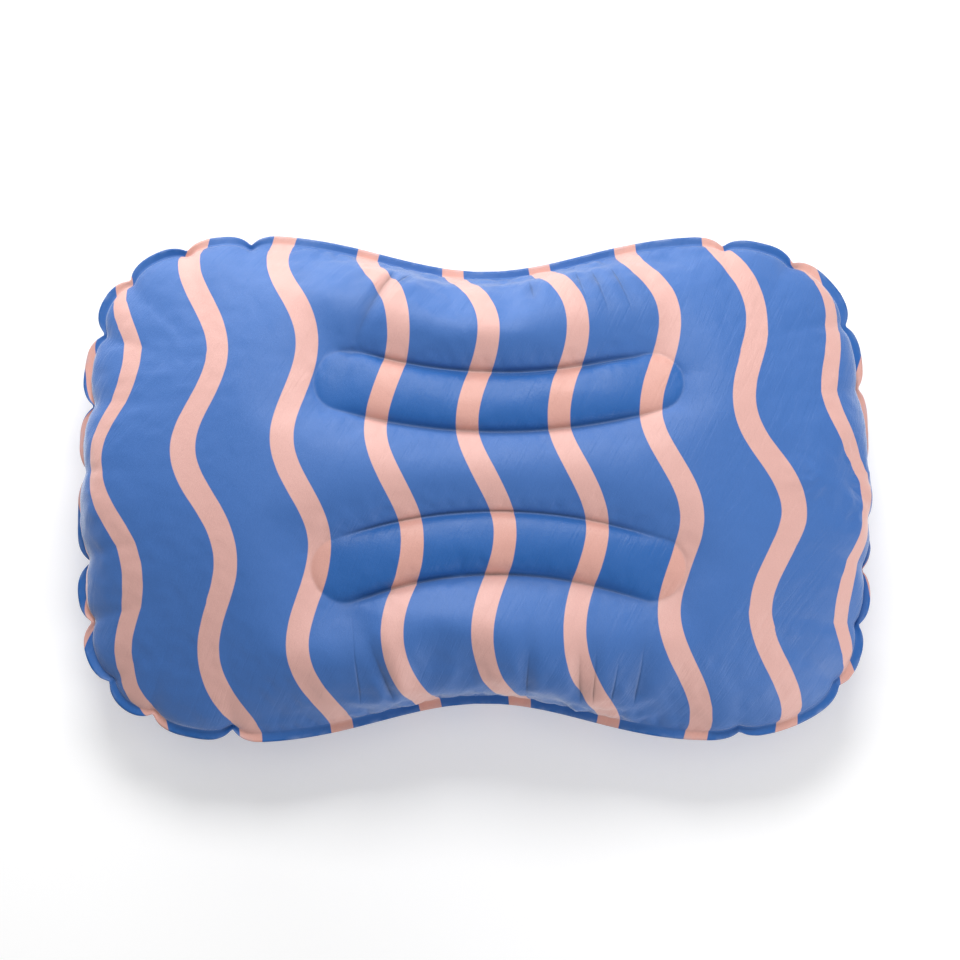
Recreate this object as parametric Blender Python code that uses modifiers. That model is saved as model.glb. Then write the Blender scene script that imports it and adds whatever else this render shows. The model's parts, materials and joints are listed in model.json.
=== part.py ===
"""Inflated camp pillow: two welded fabric panels, two crescent ties and a two-way air valve.

Metres, +Z up, +X along the pillow's length. The origin is under the pillow's middle, on the
surface that the pillow rests on.
"""
import math

import bmesh
import bpy
from mathutils import Euler, Matrix, Vector, geometry

MM = 0.001
GAP = 0.3 * MM  # left between faces that touch or are welded

# Driving dimensions of the inflated pillow
HALF_LENGTH = 0.230
HALF_WIDTH = 0.154
WAIST_DIP = 0.175  # share of the half width that the long sides lose at the middle
WAIST_SPREAD = 0.0875
WAIST_AT = 0.006  # the narrowest place, along the length
CORNER_POWER = 4.6  # superellipse power of the outline
FLANGE = 0.0052  # width of the welded margin
FABRIC = 0.5 * MM
WELD_HEIGHT = 0.043  # middle of the welded margin above the ground
TOP_RISE = 0.047
BOTTOM_DROP = 0.050  # the bottom bulge is flattened where it meets the ground
BULGE_ACROSS_POWER = 2.2
BULGE_ALONG_POWER = 4.0
BULGE_EDGE_POWER = 0.6  # how steeply the bulge leaves the weld
MIDDLE_SAG = 0.10  # share of the rise that the middle of the pillow loses
SAG_SPREAD = 0.11

# Crescent ties, bowed towards the middle of the pillow
TIE_CENTRE = Vector((0.014, 0.0031))
TIE_OFFSET = 0.0412  # centreline from the ties' centre
REAR_TIE_BOW = 0.0105
FRONT_TIE_BOW = 0.0136
TIE_HALF_LENGTH = 0.088
TIE_HALF_WIDTH = 0.0175
TIE_HALF_HEIGHT = 0.031
TIE_SHOULDER = 0.009  # the panels drop to the ties over this width
FILM = 0.5 * MM
PATCH_INSET = 0.8 * MM
WALL_INSET = 2.5 * MM
VENT_RADIUS = 5.0 * MM
VENT_PLACES = (-0.066, -0.022, 0.022, 0.066)

# Mesh steps of the panels
OUTLINE_POINTS = 96
TIE_POINTS = 52
GRID_STEP = 0.018
CLEAR_STEP = 0.0105  # grid points stay this far from the welded loops

# Air valve, on the underside where the bottom panel curves up to one end
VALVE_CENTRE = Vector((0.197, 0.0, 0.0165))
VALVE_TILT = math.radians(32)
VALVE_PAD_RADIUS = 24 * MM  # flat stretch of the bottom panel round the valve
VALVE_HOLE_RADIUS = 14 * MM
VALVE_POINTS = 24
TURN_STEPS = 40
BORE_RADIUS = 11 * MM
PORT_RADIUS = 7 * MM
RIM_TOP = 5.0 * MM  # outer face of the closed plug's rim above the fabric
PLUG_HINGE_AT = Vector((20.0 * MM, 0.0, 2.2 * MM))
CAP_HINGE_AT = Vector((13.2 * MM, 0.0, 6.6 * MM))
ROLL_RADIUS = 1.0 * MM  # rolled end of the plug's strap
CAP_ROLL_RADIUS = 0.8 * MM
STRAP_HALF_WIDTH = 3.5 * MM
CAP_STRAP_HALF_WIDTH = 2.5 * MM
BLOCK_ROUNDING = 0.25 * MM

# The valve's own frame: +Z out of the pillow, +X up the slope to the pillow's end
VALVE_TURN = Euler((math.pi, -VALVE_TILT, 0.0))
VALVE_MATRIX = Matrix.LocRotScale(VALVE_CENTRE, VALVE_TURN, None)


# ---------------------------------------------------------------- outlines

def resampled(points, count):
    """The closed loop through points, as count points at equal steps."""
    ends = points[1:] + points[:1]
    steps = [(b - a).length for a, b in zip(points, ends)]
    total = sum(steps)
    result = []
    index = 0
    passed = 0.0
    for number in range(count):
        wanted = total * number / count
        while passed + steps[index] < wanted:
            passed += steps[index]
            index += 1
        share = (wanted - passed) / steps[index]
        result.append(points[index].lerp(ends[index], share))
    return result


def signed_power(value, power):
    return math.copysign(abs(value) ** power, value)


def waist_at(x):
    return 1 - WAIST_DIP * math.exp(-((x - WAIST_AT) / WAIST_SPREAD) ** 2)


def outline(inset, fine=2000):
    """The pillow's outline from above, moved inwards by inset, anticlockwise."""
    points = []
    for number in range(fine):
        angle = 2 * math.pi * number / fine
        x = (HALF_LENGTH - inset) * signed_power(math.cos(angle), 2 / CORNER_POWER)
        y = (HALF_WIDTH - inset) * signed_power(math.sin(angle), 2 / CORNER_POWER)
        points.append(Vector((x, y * waist_at(x))))
    return resampled(points, OUTLINE_POINTS)


def end_cap(centre, outwards, radius, fine=16):
    """The points between the two corners of a round end, anticlockwise."""
    across = Vector((outwards.y, -outwards.x))
    points = []
    for number in range(1, fine):
        angle = math.pi * number / fine
        points.append(centre + (across * math.cos(angle) + outwards * math.sin(angle)) * radius)
    return points


def tie_middle(side, share):
    """A point on a tie's centreline, and its bow. side is 1 for the rear tie and -1 for the front."""
    bow = REAR_TIE_BOW if side > 0 else FRONT_TIE_BOW
    point = TIE_CENTRE + Vector((TIE_HALF_LENGTH * share, side * (TIE_OFFSET + bow * share ** 2)))
    return point, bow


def crescent(side, inset=0.0, fine=120):
    """A bowed strip with round ends."""
    half = TIE_HALF_WIDTH - inset
    upper = []
    lower = []
    rail = []
    for number in range(fine + 1):
        share = 2 * number / fine - 1
        centre, bow = tie_middle(side, share)
        along = Vector((TIE_HALF_LENGTH, side * 2 * bow * share)).normalized()
        across = Vector((-along.y, along.x))
        upper.append(centre + across * half)
        lower.append(centre - across * half)
        rail.append((centre, along))
    right = end_cap(rail[-1][0], rail[-1][1], half)
    left = end_cap(rail[0][0], -rail[0][1], half)
    return resampled(lower + right + upper[::-1] + left, TIE_POINTS)


def valve_circle(radius):
    """A circle round the valve on the bottom panel's outer face, as world points."""
    points = []
    for number in range(VALVE_POINTS):
        angle = 2 * math.pi * number / VALVE_POINTS
        local = Vector((radius * math.cos(angle), radius * math.sin(angle), 0.0))
        points.append(VALVE_MATRIX @ local)
    return points


def is_inside(point, loop):
    """True where a flat point lies inside a closed loop."""
    inside = False
    for a, b in zip(loop, loop[1:] + loop[:1]):
        if (a.y > point.y) != (b.y > point.y):
            crossing = a.x + (b.x - a.x) * (point.y - a.y) / (b.y - a.y)
            inside ^= point.x < crossing
    return inside


def is_clear(point, loops, distance):
    for loop in loops:
        for other in loop:
            if (other - point).length < distance:
                return False
    return True


# ---------------------------------------------------------------- panels

def bulge(point):
    """Share of the panel's full rise at a flat point, 0 on the weld line."""
    along = min(abs(point.x) / (HALF_LENGTH - FLANGE), 1.0)
    corner = (1 - along ** CORNER_POWER) ** (1 / CORNER_POWER)
    half_width = (HALF_WIDTH - FLANGE) * corner * waist_at(point.x)
    across = min(abs(point.y) / max(half_width, MM), 1.0)
    rise = (1 - across ** BULGE_ACROSS_POWER) * (1 - along ** BULGE_ALONG_POWER)
    sag = MIDDLE_SAG * math.exp(-(point.length / SAG_SPREAD) ** 2)
    return rise ** BULGE_EDGE_POWER * (1 - sag)


def flat_grid(keep_inside, loops):
    """Staggered rows of points inside a loop and clear of all the loops."""
    row_step = GRID_STEP * math.sqrt(3) / 2
    rows = int(HALF_WIDTH / row_step) + 1
    columns = int(HALF_LENGTH / GRID_STEP) + 1
    points = []
    for row in range(-rows, rows + 1):
        shift = 0.5 * (row % 2)
        for column in range(-columns, columns + 1):
            point = Vector(((column + shift) * GRID_STEP, row * row_step))
            if is_inside(point, keep_inside) and is_clear(point, loops, CLEAR_STEP):
                points.append(point)
    return points


def panel_sheet(loops, hole, height_of):
    """Open sheet over the outline with the loops in its mesh. The first loop is its edge."""
    points = []
    edges = []
    for loop in loops:
        first = len(points)
        count = len(loop)
        points += loop
        edges += [(first + number, first + (number + 1) % count) for number in range(count)]
    points += flat_grid(loops[1], loops)
    corners, _, triangles, _, _, _ = geometry.delaunay_2d_cdt(points, edges, [], 1, 1e-7)
    sheet = bmesh.new()
    for corner in corners:
        sheet.verts.new((corner.x, corner.y, height_of(corner)))
    sheet.verts.ensure_lookup_table()
    for triangle in triangles:
        middle = sum((corners[index] for index in triangle), Vector((0, 0))) / 3
        if is_inside(middle, loops[0]) and not (hole and is_inside(middle, hole)):
            sheet.faces.new([sheet.verts[index] for index in triangle])
    loose = [vert for vert in sheet.verts if not vert.link_faces]
    bmesh.ops.delete(sheet, geom=loose, context="VERTS")
    return sheet


def make_top_panel():
    weld = outline(FLANGE)
    ties = [crescent(1), crescent(-1)]
    shoulders = [crescent(1, -TIE_SHOULDER), crescent(-1, -TIE_SHOULDER)]
    flange_top = WELD_HEIGHT + GAP / 2 + FABRIC

    def height_of(point):
        for tie in ties:
            if is_inside(point, tie) or not is_clear(point, [tie], GAP):
                return WELD_HEIGHT + TIE_HALF_HEIGHT
        if not is_clear(point, [weld], GAP) or not is_inside(point, weld):
            return flange_top
        return flange_top + TOP_RISE * bulge(point)

    sheet = panel_sheet([outline(0.0), weld] + ties + shoulders, None, height_of)
    return add_panel("top_panel", sheet)


def make_bottom_panel():
    weld = outline(FLANGE)
    ties = [crescent(1), crescent(-1)]
    shoulders = [crescent(1, -TIE_SHOULDER), crescent(-1, -TIE_SHOULDER)]
    pad = [point.to_2d() for point in valve_circle(VALVE_PAD_RADIUS)]
    hole = [point.to_2d() for point in valve_circle(VALVE_HOLE_RADIUS)]
    flange_bottom = WELD_HEIGHT - GAP / 2 - FABRIC

    def height_of(point):
        for tie in ties:
            if is_inside(point, tie) or not is_clear(point, [tie], GAP):
                return WELD_HEIGHT - TIE_HALF_HEIGHT
        if not is_clear(point, [weld], GAP) or not is_inside(point, weld):
            return flange_bottom
        if is_inside(point, pad) or not is_clear(point, [pad], GAP):
            return VALVE_CENTRE.z + (point.x - VALVE_CENTRE.x) * math.tan(VALVE_TILT)
        return max(0.0, flange_bottom - BOTTOM_DROP * bulge(point))

    loops = [outline(0.0), weld] + ties + shoulders + [pad, hole]
    sheet = panel_sheet(loops, hole, height_of)
    bmesh.ops.reverse_faces(sheet, faces=sheet.faces)
    return add_panel("bottom_panel", sheet)


def add_panel(name, sheet):
    """Gives an outer face its fabric thickness, inwards."""
    part = add_part(name, sheet, "printed_fabric")
    add_thickness(part, FABRIC, -1.0)
    return part


# ---------------------------------------------------------------- crescent ties

def make_tie_patch(name, side, height):
    """Crescent of film, centred on height."""
    curve = bpy.data.curves.new(name, "CURVE")
    curve.dimensions = "2D"
    curve.fill_mode = "BOTH"
    curve.extrude = FILM / 2
    spline = curve.splines.new("POLY")
    loop = crescent(side, PATCH_INSET)
    spline.points.add(len(loop) - 1)
    for point, place in zip(spline.points, loop):
        point.co = (place.x, place.y, 0.0, 1.0)
    spline.use_cyclic_u = True
    drawn = bpy.data.objects.new(name + "_outline", curve)
    bpy.context.scene.collection.objects.link(drawn)
    bpy.context.view_layer.update()
    filled = drawn.evaluated_get(bpy.context.evaluated_depsgraph_get())
    sheet = bmesh.new()
    sheet.from_mesh(filled.to_mesh())
    filled.to_mesh_clear()
    bpy.data.objects.remove(drawn)
    bmesh.ops.remove_doubles(sheet, verts=sheet.verts, dist=0.01 * MM)
    part = add_part(name, sheet, "tie_film")
    part.location.z = height
    return part


def make_tie_wall(name, side, half_height):
    """Upright film column between the two patches, with vent holes through both its sides."""
    loop = crescent(side, WALL_INSET)
    sheet = bmesh.new()
    lower = [sheet.verts.new((point.x, point.y, WELD_HEIGHT - half_height)) for point in loop]
    edges = []
    for a, b in zip(lower, lower[1:] + lower[:1]):
        edges.append(sheet.edges.new((a, b)))
    raised = bmesh.ops.extrude_edge_only(sheet, edges=edges)["geom"]
    upper = [item for item in raised if isinstance(item, bmesh.types.BMVert)]
    bmesh.ops.translate(sheet, verts=upper, vec=(0.0, 0.0, 2 * half_height))
    bmesh.ops.recalc_face_normals(sheet, faces=sheet.faces)
    part = add_part(name, sheet, "tie_film")
    add_thickness(part, FILM, 0.0)
    for number, x in enumerate(VENT_PLACES):
        middle, _ = tie_middle(side, x / TIE_HALF_LENGTH)
        vent = make_rod(f"{name}_vent_{number}", VENT_RADIUS, 6 * TIE_HALF_WIDTH, 12)
        vent.rotation_euler.x = math.pi / 2
        vent.location = (middle.x, middle.y, WELD_HEIGHT)
        combine(part, vent, "DIFFERENCE")
    return part


def make_ties():
    """Rear and front ties: a patch under each panel's floor, and a wall between them."""
    patch_height = TIE_HALF_HEIGHT - FABRIC - GAP - FILM / 2
    wall_half_height = patch_height - FILM / 2 - GAP
    for prefix, side in (("rear", 1), ("front", -1)):
        make_tie_patch(prefix + "_tie_top_patch", side, WELD_HEIGHT + patch_height)
        make_tie_patch(prefix + "_tie_bottom_patch", side, WELD_HEIGHT - patch_height)
        make_tie_wall(prefix + "_tie_wall", side, wall_half_height)


# ---------------------------------------------------------------- valve

def turned(name, profile, closed, material=None):
    """Body of revolution about its own Z axis. The profile's outer side runs downwards."""
    sheet = bmesh.new()
    verts = [sheet.verts.new((radius * MM, 0.0, height * MM)) for radius, height in profile]
    pairs = list(zip(verts, verts[1:]))
    if closed:
        pairs.append((verts[-1], verts[0]))
    for a, b in pairs:
        sheet.edges.new((a, b))
    part = add_part(name, sheet, material)
    screw = part.modifiers.new("turn", "SCREW")
    screw.steps = TURN_STEPS
    screw.render_steps = TURN_STEPS
    screw.use_merge_vertices = True
    screw.merge_threshold = 0.01 * MM
    screw.use_smooth_shade = True
    return part


def make_valve_base(frame):
    """Ring through the bottom panel's hole: a skirt inside, a collar outside and a bore."""
    bore = BORE_RADIUS / MM
    skirt = 22.0
    inner_face = -(FABRIC + GAP) / MM
    profile = [(15.6, 3.0), (16.2, 2.4), (16.2, GAP / MM), (13.6, GAP / MM), (13.6, inner_face),
               (skirt, inner_face), (skirt, inner_face - 0.8), (bore, inner_face - 0.8),
               (bore, 2.6), (bore + 0.4, 3.0)]
    base = turned("valve_base", profile, True, "valve_plastic")
    lug = make_block("valve_base_lug", (14.5, -4.5, 0.5), (18.5, 4.5, 2.9))
    combine(base, lug, "UNION")
    base.parent = frame
    lug.parent = frame


def make_deflation_plug(hinge):
    """Large plug with the inflation port through it and a cross that holds the flap's stem."""
    port = PORT_RADIUS / MM
    rim = RIM_TOP / MM
    profile = [(14.9, rim), (15.6, rim - 0.6), (15.6, 3.4), (10.7, 3.4), (10.0, -2.6),
               (9.6, -3.0), (port, -3.0), (port, rim)]
    plug = turned("deflation_plug", profile, True, "valve_plastic")
    reach = port + 0.4
    side = STRAP_HALF_WIDTH / MM
    pieces = [
        make_block("cross_along", (-reach, -0.8, -2.9), (reach, 0.8, -1.8)),
        make_block("cross_across", (-0.8, -reach, -2.9), (0.8, reach, -1.8)),
        make_block("plug_strap", (14.6, -side, 3.5), (20.6, side, 4.5)),
        make_block("plug_strap_drop", (19.2, -side, 2.2), (20.8, side, 4.2)),
        make_tab("plug_tab", -16.2, 4.2, 3.6, 4.6),
        make_block("cap_lug", (12.8, -side, rim - 0.5), (14.6, side, rim + 0.4)),
    ]
    boss = make_rod("cross_boss", 2.4 * MM, 1.1 * MM, 20)
    boss.location.z = -2.35 * MM
    roll = make_rod("plug_strap_roll", ROLL_RADIUS, 2 * STRAP_HALF_WIDTH, 16)
    roll.rotation_euler.x = math.pi / 2
    roll.location = PLUG_HINGE_AT
    stem_hole = make_rod("stem_hole", 1.2 * MM, 4 * MM, 20)
    stem_hole.location.z = -2.35 * MM
    for piece in pieces + [boss, roll]:
        combine(plug, piece, "UNION")
    combine(plug, stem_hole, "DIFFERENCE")
    for piece in pieces + [boss, roll, stem_hole, plug]:
        hang(piece, hinge, PLUG_HINGE_AT)
    return plug


def make_check_flap(hinge):
    """Thin round flap under the cross, with a stem through the boss and a bead above it."""
    profile = [(0.0, 0.5), (1.0, 0.3), (1.7, -0.3), (1.7, -0.6), (0.9, -0.8), (0.9, -3.0),
               (8.2, -3.2), (8.2, -3.7), (0.0, -4.1)]
    flap = turned("check_flap", profile, False, "flap_silicone")
    hang(flap, hinge, PLUG_HINGE_AT)


def make_inflation_cap(hinge):
    """Small cap with a skirt in the port, a finger tab and a strap to its hinge."""
    seat = (RIM_TOP + GAP) / MM
    profile = [(0.0, seat + 1.2), (8.5, seat + 1.2), (9.2, seat + 0.6), (9.2, seat), (6.7, seat),
               (6.2, 1.9), (5.4, 1.9), (5.4, seat - 0.3), (0.0, seat - 0.3)]
    cap = turned("inflation_cap", profile, False, "valve_plastic")
    side = CAP_STRAP_HALF_WIDTH / MM
    strap = make_block("cap_strap", (8.6, -side, seat + 0.6), (13.0, side, seat + 1.4))
    roll = make_rod("cap_strap_roll", CAP_ROLL_RADIUS, 2 * CAP_STRAP_HALF_WIDTH, 16)
    roll.rotation_euler.x = math.pi / 2
    roll.location = CAP_HINGE_AT
    tab = make_tab("cap_tab", -9.6, 3.0, seat + 0.1, seat + 0.9)
    for piece in (strap, roll, tab):
        combine(cap, piece, "UNION")
    for piece in (strap, roll, tab, cap):
        hang(piece, hinge, CAP_HINGE_AT)


def make_valve():
    frame = add_empty("valve_frame", None, VALVE_CENTRE)
    frame.rotation_euler = VALVE_TURN
    plug_hinge = add_empty("plug_hinge", frame, PLUG_HINGE_AT)
    cap_hinge = add_empty("cap_hinge", plug_hinge, CAP_HINGE_AT - PLUG_HINGE_AT)
    make_valve_base(frame)
    make_deflation_plug(plug_hinge)
    make_check_flap(plug_hinge)
    make_inflation_cap(cap_hinge)


# ---------------------------------------------------------------- helpers

def add_collection(name):
    collection = bpy.data.collections.new(name)
    bpy.context.scene.collection.children.link(collection)
    return collection


def add_part(name, sheet, material):
    """Object from a bmesh. A part has a material, and a cutter or joined piece has none."""
    mesh = bpy.data.meshes.new(name)
    sheet.to_mesh(mesh)
    sheet.free()
    part = bpy.data.objects.new(name, mesh)
    if material:
        mesh.materials.append(bpy.data.materials[material])
        parts.objects.link(part)
    else:
        cutters.objects.link(part)
        part.hide_render = True
        part.display_type = "WIRE"
    return part


def add_empty(name, parent, location):
    empty = bpy.data.objects.new(name, None)
    parts.objects.link(empty)
    empty.parent = parent
    empty.location = location
    return empty


def add_thickness(part, thickness, offset):
    solidify = part.modifiers.new("thickness", "SOLIDIFY")
    solidify.thickness = thickness
    solidify.offset = offset


def make_block(name, low, high):
    """Box between two corners in millimetres of the valve's frame."""
    sheet = bmesh.new()
    bmesh.ops.create_cube(sheet, size=1.0)
    size = (Vector(high) - Vector(low)) * MM
    bmesh.ops.scale(sheet, verts=sheet.verts, vec=size)
    block = add_part(name, sheet, None)
    block.location = (Vector(high) + Vector(low)) * MM / 2
    rounding = block.modifiers.new("rounding", "BEVEL")
    rounding.width = BLOCK_ROUNDING
    rounding.segments = 2
    return block


def make_tab(name, centre, radius, low, high):
    """Round finger tab in millimetres of the valve's frame, between two heights."""
    tab = make_rod(name, radius * MM, (high - low) * MM, 24)
    tab.location = (centre * MM, 0.0, (low + high) * MM / 2)
    rounding = tab.modifiers.new("rounding", "BEVEL")
    rounding.width = BLOCK_ROUNDING
    rounding.segments = 2
    rounding.limit_method = "ANGLE"
    return tab


def make_rod(name, radius, length, segments):
    sheet = bmesh.new()
    bmesh.ops.create_cone(sheet, cap_ends=True, segments=segments, radius1=radius,
                          radius2=radius, depth=length)
    return add_part(name, sheet, None)


def combine(part, other, operation):
    boolean = part.modifiers.new(other.name, "BOOLEAN")
    boolean.operation = operation
    boolean.solver = "EXACT"
    boolean.object = other


def hang(part, hinge, hinge_place):
    """Puts a piece placed in the valve's frame on a hinge empty, without moving it."""
    part.parent = hinge
    part.location -= hinge_place


def add_material(name, colour, roughness):
    material = bpy.data.materials.new(name)
    material.use_nodes = True
    shader = material.node_tree.nodes["Principled BSDF"]
    shader.inputs["Base Color"].default_value = (*colour, 1.0)
    shader.inputs["Roughness"].default_value = roughness
    shader.inputs["Metallic"].default_value = 0.0


for existing in list(bpy.data.objects):
    bpy.data.objects.remove(existing)
parts = add_collection("camp_pillow")
cutters = add_collection("cutters")
add_material("printed_fabric", (0.08, 0.19, 0.52), 0.5)
add_material("tie_film", (0.75, 0.78, 0.80), 0.35)
add_material("valve_plastic", (0.06, 0.13, 0.34), 0.4)
add_material("flap_silicone", (0.80, 0.82, 0.82), 0.45)
make_top_panel()
make_bottom_panel()
make_ties()
make_valve()
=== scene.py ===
"""Looks of the inflatable camp pillow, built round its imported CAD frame.

Two flat-cut fabric panels are welded round the edge, held together by two inner ties and inflated.
"""

import json
import math

import bpy
import numpy as np
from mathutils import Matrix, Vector, geometry


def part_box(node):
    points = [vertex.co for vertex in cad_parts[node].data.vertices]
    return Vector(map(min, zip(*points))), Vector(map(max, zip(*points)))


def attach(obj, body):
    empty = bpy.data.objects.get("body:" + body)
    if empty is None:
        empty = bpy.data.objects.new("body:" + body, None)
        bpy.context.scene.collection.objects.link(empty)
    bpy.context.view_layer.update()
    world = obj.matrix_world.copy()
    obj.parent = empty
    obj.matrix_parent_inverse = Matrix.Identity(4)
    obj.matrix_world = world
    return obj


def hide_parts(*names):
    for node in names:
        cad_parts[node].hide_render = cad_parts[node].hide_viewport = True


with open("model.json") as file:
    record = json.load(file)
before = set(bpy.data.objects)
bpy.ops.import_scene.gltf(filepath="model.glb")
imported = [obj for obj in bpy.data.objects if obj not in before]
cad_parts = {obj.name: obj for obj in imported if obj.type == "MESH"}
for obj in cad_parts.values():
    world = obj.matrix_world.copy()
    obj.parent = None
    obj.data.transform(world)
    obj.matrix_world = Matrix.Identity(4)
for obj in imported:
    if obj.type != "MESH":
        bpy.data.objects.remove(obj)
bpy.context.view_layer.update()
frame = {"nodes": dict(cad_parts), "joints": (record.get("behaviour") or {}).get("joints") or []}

MM = 0.001
SEED = 7

# ------------------------------------------------------------------ sizes

# flat cut of each panel, before it is inflated
CUT_HALF_LENGTH = 0.245
CUT_HALF_WIDTH = 0.167
CUT_WAIST_DIP = 0.10  # share of the half width
CUT_WAIST_SPREAD = 0.098
CORNER_POWER = 4.6
FLANGE = 5.2 * MM  # welded margin
WAIST_AT = 0.006  # of the waist along the pillow

# outline of the inflated pillow
DONE_WAIST_DIP = 0.175
DONE_WAIST_SPREAD = 0.0875

# crescent welds of the two inner ties, on the flat cut
TIE_CENTRE = (0.0145, 0.0032)
TIE_OFFSET = 0.0417  # of each arc's middle from the ties' centre
TIE_BOWS = {1: 0.0125, -1: 0.0155}  # how far an arc's ends stand out from its middle
TIE_HALF_LENGTH = 0.0905
TIE_HALF_WIDTH = 0.0175
TIE_HEIGHT = 0.073

# mesh
WELD_STEP = 3.2 * MM
WELD_LENGTH = 3.44 * (CUT_HALF_LENGTH + CUT_HALF_WIDTH)  # roughly, all round
GRID_STEP = 5.4 * MM

# inflation
FRAMES = 40
PRESSURE = 12.0
TENSION = 30.0
SHEAR = 5.0
BEND = 0.5
BEND_WELD = 3.0
AIR_DAMPING = 3.0
CLOTH_MASS = 0.15
CLOTH_QUALITY = 6

# end gathers: where a notch runs in from the weld, in degrees round a point on the long axis
NOTCH_CENTRE = 0.130
LEFT_NOTCHES = (90.7, 106, 121, 135, 154, 176, 206, 221, 235.6, 248, 267)
RIGHT_NOTCHES = (83, 66, 46.4, 31, 5.2, -14, -27.7, -42, -56, -81.3)
NOTCH_DEPTH = 6.2 * MM
NOTCH_WIDTH = 2.6 * MM
NOTCH_REACH = 11 * MM
OVERHANG = 6.0 * MM  # of the fabric past the weld at the ends
OVERHANG_LIFT = 2.5 * MM
OVERHANG_REACH = 18 * MM
WRINKLE_STRENGTH = 1.9
RIGHT_OVERHANG = 0.7  # more of it at the middle of the +X end
RIGHT_NOTCH_SHARE = 0.7

# wrinkles in from the waist edges: along x, side, slant, then depth, width and reach in mm
WRINKLES = (
    (-0.0550, 1, -0.36, 1.9, 2.4, 46), (-0.0460, 1, -0.50, 0.8, 2.4, 14),
    (-0.0700, 1, -0.20, 0.6, 4.5, 30), (0.0370, 1, 0.10, 0.9, 2.0, 13),
    (0.0670, 1, 0.15, 0.7, 2.4, 18), (0.0770, 1, 0.17, 0.9, 2.6, 26),
    (0.0890, 1, 0.22, 0.8, 2.6, 28), (0.1010, 1, 0.20, 0.6, 3.0, 24),
    (-0.1080, 1, 0.10, 0.4, 4.0, 22), (-0.0710, -1, 0.00, 0.7, 4.5, 44),
    (-0.0540, -1, -0.27, 1.6, 2.4, 30), (-0.0640, -1, -0.10, 0.6, 3.2, 30),
    (0.0340, -1, 0.00, 0.9, 2.0, 22), (0.0660, -1, -0.12, 1.4, 2.4, 24),
    (0.0740, -1, -0.05, 1.0, 2.6, 28), (0.0850, -1, 0.05, 0.8, 2.6, 22),
    (0.0980, -1, 0.05, 0.9, 3.4, 32), (-0.0050, -1, 0.05, 0.3, 3.0, 20),
)
WRINKLE_START = 30 * MM  # from the weld, where a wrinkle is deepest
WRINKLE_FADE = 20 * MM
LINE_HALF_WIDTH = 1.7 * MM  # of the sharp line along the floor of a wrinkle 1 mm deep
LINE_DEPTH = 0.7  # a wrinkle at least this deep, in mm, gets one

# crescents on the inflated panels
CREASE_DEPTH = 1.2 * MM
CREASE_REACH = 1.2 * MM
SHOULDER_DEPTH = 0.4 * MM
SHOULDER_REACH = 7 * MM
FLOOR_CROWN = 3.0 * MM
FLOOR_ROLL = 3.4 * MM  # width over which the floor rolls down to its crease

# panels
CLOTH_THICKNESS = 0.36 * MM
WELD_HALF_THICKNESS = 0.40 * MM
WELD_ROLL = 2 * MM  # over which the panels part from the weld
RIPPLES = ((0.7 * MM, 0.021, 0.0), (0.5 * MM, 0.0087, 1.0))  # the margin's: height, length, start
MARGIN_FOLD = 1.6 * MM  # how far the margin lifts where it is gathered
GROUND_PRESS = 1.5 * MM  # how far the belly would sink before the ground flattens it
GROUND_SOFTNESS = 2.5 * MM

# rounds of smoothing: everywhere, round the ends, along the seam, and last of all at the ends
SMOOTH_ROUNDS = 22
END_ROUNDS = 110
SEAM_ROUNDS = 40
SETTLE_ROUNDS = 3

# ties
PATCH_DEPTH = 0.46 * MM  # of a patch's face below the fabric's
PATCH_THICKNESS = 0.30 * MM
WALL_THICKNESS = 0.25 * MM
WALL_INSET = 2.5 * MM  # from a patch's edge
WALL_GAP = 0.5 * MM  # between a patch's face and the wall
WALL_TRIM = 0.6 * MM  # more, straight up and down
WALL_ROWS = 18
VENT_PLACES = (-0.066, -0.022, 0.022, 0.066)  # along x, on each long side
VENT_RADIUS = 5 * MM

# valve
VALVE_PAD_RADIUS = 24 * MM
VALVE_BLEND_RADIUS = 68 * MM
VALVE_SETTLE_RADIUS = 34 * MM
VALVE_HOLE_RADIUS = 14 * MM
VALVE_WELD_RADIUS = 22 * MM
VALVE_FLAT_X = 0.2000  # of its hole on the flat cut
VALVE_HINGE_REACH = 20 * MM  # from the valve's centre to the plug's hinge, along the slope
VALVE_HINGE_HEIGHT = 2.2 * MM  # of the hinge outside the seat

# print: wavy stripes laid across the flat cut
STRIPE_TURN = math.radians(4.5)
STRIPE_PITCH = 0.0532
STRIPE_HALF_WIDTH = 0.0065
STRIPE_WAVE_LENGTH = 0.120
STRIPE_WAVE_HEIGHT = 0.0085
STRIPE_PHASE = 3.22
STRIPE_SHIFT = 0.0071
STRIPE_SPREAD = 1.8  # how far the stripes spread towards the corners, per metre squared
# the stripes lie closer together near the ends
STRIPE_END_START = 0.180
STRIPE_END_SQUEEZE = 6.0  # per metre
CREASE_LEAN = math.radians(-28)

random = np.random.default_rng(SEED)


# ------------------------------------------------------------------ flat shapes

def resampled(loop, count):
    """The closed loop with its points evenly spaced."""
    closed = np.vstack([loop, loop[:1]])
    length = np.r_[0, np.cumsum(np.linalg.norm(np.diff(closed, axis=0), axis=1))]
    at = np.linspace(0, length[-1], count, endpoint=False)
    return np.stack([np.interp(at, length, closed[:, axis]) for axis in (0, 1)], axis=1)


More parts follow.
